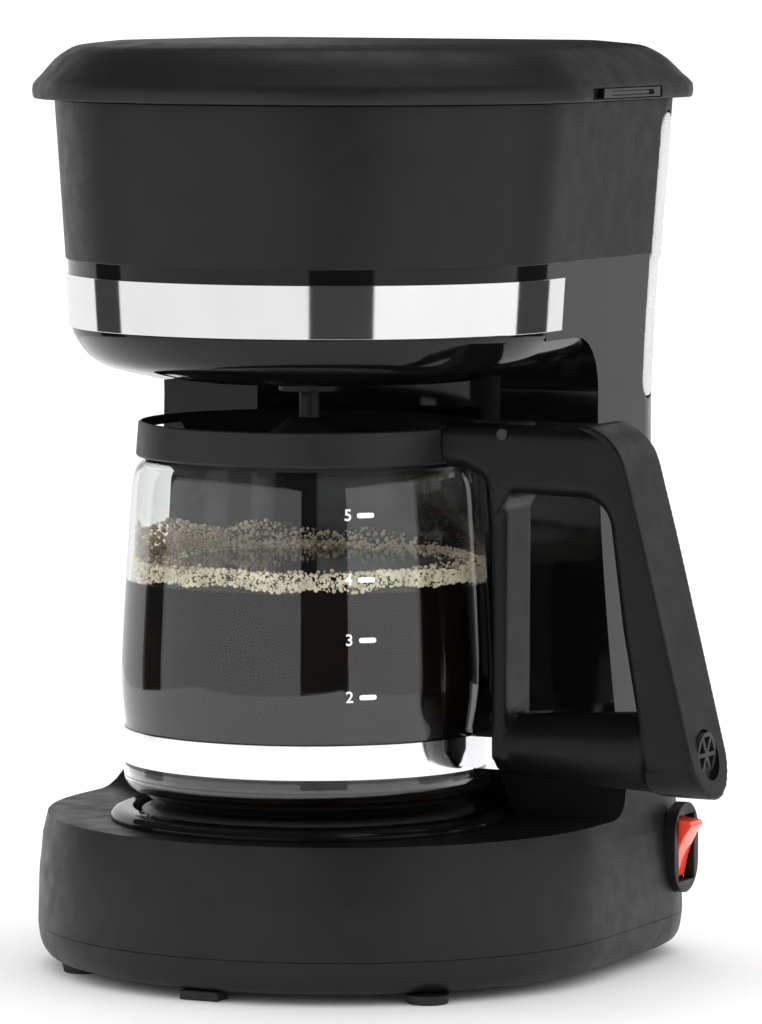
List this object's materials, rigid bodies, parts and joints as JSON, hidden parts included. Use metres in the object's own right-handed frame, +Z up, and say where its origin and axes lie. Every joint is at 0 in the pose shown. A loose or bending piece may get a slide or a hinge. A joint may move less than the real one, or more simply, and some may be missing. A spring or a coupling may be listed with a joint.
{
  "type": "drip coffee maker",
  "caption": "Compact drip coffee maker with a hinged top lid, lift-out brew basket with drip stop, water gauge, warming plate, rocker switch and a glass carafe with a hinged lid.",
  "frame": {"origin": "on the counter, directly under the centre of the carafe and brew basket", "axes": "+Z up, -Y towards the front of the machine, +X to the machine's right, where the carafe handle points"},
  "size_m": [0.2159, 0.1884, 0.272],
  "materials": {
    "satin_black_plastic": "satin, fine moulded texture",
    "gloss_black_plastic": "high gloss",
    "inner_black_plastic": "plain moulded",
    "clear_plastic": "translucent",
    "tank_plastic": "plain moulded, slightly translucent",
    "bright_trim": "brushed round the band",
    "zinc_steel": "zinc plated",
    "spring_steel": "bright drawn wire",
    "valve_red_plastic": "moulded",
    "silicone_white": "soft satin",
    "natural_plastic": "unpigmented, slightly translucent",
    "cast_aluminium": "die cast",
    "rod_steel": "heat tinted sheath",
    "plate_coating": "dark non-stick coating",
    "black_rubber": "matte",
    "phenolic": "moulded",
    "wire_sleeve": "braided glass sleeve",
    "red_translucent": "translucent, lit from inside",
    "lamp_glass": "clear",
    "carafe_glass": "clear, polished"
  },
  "bodies": {
    "machine": {"bottom_cover": "satin_black_plastic", "base_shell": "satin_black_plastic", "column_housing": "gloss_black_plastic", "upper_shell": "satin_black_plastic", "head_trim_band": "bright_trim", "inner_deck": "inner_black_plastic", "brew_chamber": "inner_black_plastic", "reservoir_tank": "tank_plastic", "water_window": "clear_plastic", "window_gasket": "black_rubber", "lid_hinge_pins": "zinc_steel", "riser_pipe": "cast_aluminium", "spray_arm": "natural_plastic", "shower_head": "natural_plastic", "outlet_fitting": "natural_plastic", "check_valve_body": "natural_plastic", "cold_hose": "silicone_white", "hot_hose": "silicone_white", "hose_clamps": "zinc_steel", "heater_body": "cast_aluminium", "heating_rod": "rod_steel", "heater_bracket": "zinc_steel", "bracket_screw": "zinc_steel", "warming_plate": "plate_coating", "plate_gasket": "black_rubber", "plate_ring": "gloss_black_plastic", "thermostat": "phenolic", "thermal_fuses": "wire_sleeve", "wiring": "wire_sleeve", "switch_bezel": "gloss_black_plastic", "switch_body": "inner_black_plastic", "switch_pivot": "zinc_steel", "switch_lamp": "lamp_glass", "cord_inlet": "black_rubber", "round_feet": "black_rubber", "square_foot": "inner_black_plastic", "base_screws": "zinc_steel", "column_screws": "zinc_steel"},
    "top_lid": {"top_lid": "satin_black_plastic", "lid_side_catch": "gloss_black_plastic"},
    "basket": {"brew_basket": "inner_black_plastic", "basket_cap": "inner_black_plastic", "valve_spring": "spring_steel"},
    "drip_valve": {"drip_valve": "inner_black_plastic", "valve_seal": "silicone_white"},
    "carafe": {"carafe_glass": "carafe_glass", "carafe_band": "bright_trim", "carafe_handle": "satin_black_plastic", "grip_cover": "satin_black_plastic", "handle_screw": "zinc_steel", "screw_cap": "inner_black_plastic", "carafe_lid_pin": "inner_black_plastic"},
    "carafe_lid": {"carafe_lid": "satin_black_plastic"},
    "switch_rocker": {"switch_rocker": "red_translucent"},
    "check_ball": {"check_ball": "valve_red_plastic"}
  },
  "joints": [
    {"name": "top_lid_hinge", "type": "hinge", "parent": "machine", "child": "top_lid", "pos_m": [0, 0.103, 0.2575], "axis": [-1, 0, 0], "range_deg": [0, 95]},
    {"name": "basket_lift", "type": "slide", "parent": "machine", "child": "basket", "axis": [0, 0, 1], "range_m": [0, 0.005]},
    {"name": "valve_lift", "type": "slide", "parent": "basket", "child": "drip_valve", "axis": [0, 0, 1], "range_m": [0, 0.0055], "deforming": ["valve_spring"]},
    {"name": "carafe_slide", "type": "slide", "parent": "machine", "child": "carafe", "axis": [0, -1, 0], "range_m": [0, 0.2]},
    {"name": "carafe_lid_hinge", "type": "hinge", "parent": "carafe", "child": "carafe_lid", "pos_m": [0.0677, 0, 0.1608], "axis": [0, 1, 0], "range_deg": [0, 4]},
    {"name": "switch_press", "type": "hinge", "parent": "machine", "child": "switch_rocker", "pos_m": [0.0813, 0.073, 0.033], "axis": [0, -1, 0], "range_deg": [0, 16]},
    {"name": "check_ball_lift", "type": "slide", "parent": "machine", "child": "check_ball", "axis": [0, 0, 1], "range_m": [0, 0.003]}
  ],
  "couplings": [
    {"joint": "valve_lift", "follows": "carafe_lid_hinge", "m_per_rad": 0.0745}
  ]
}
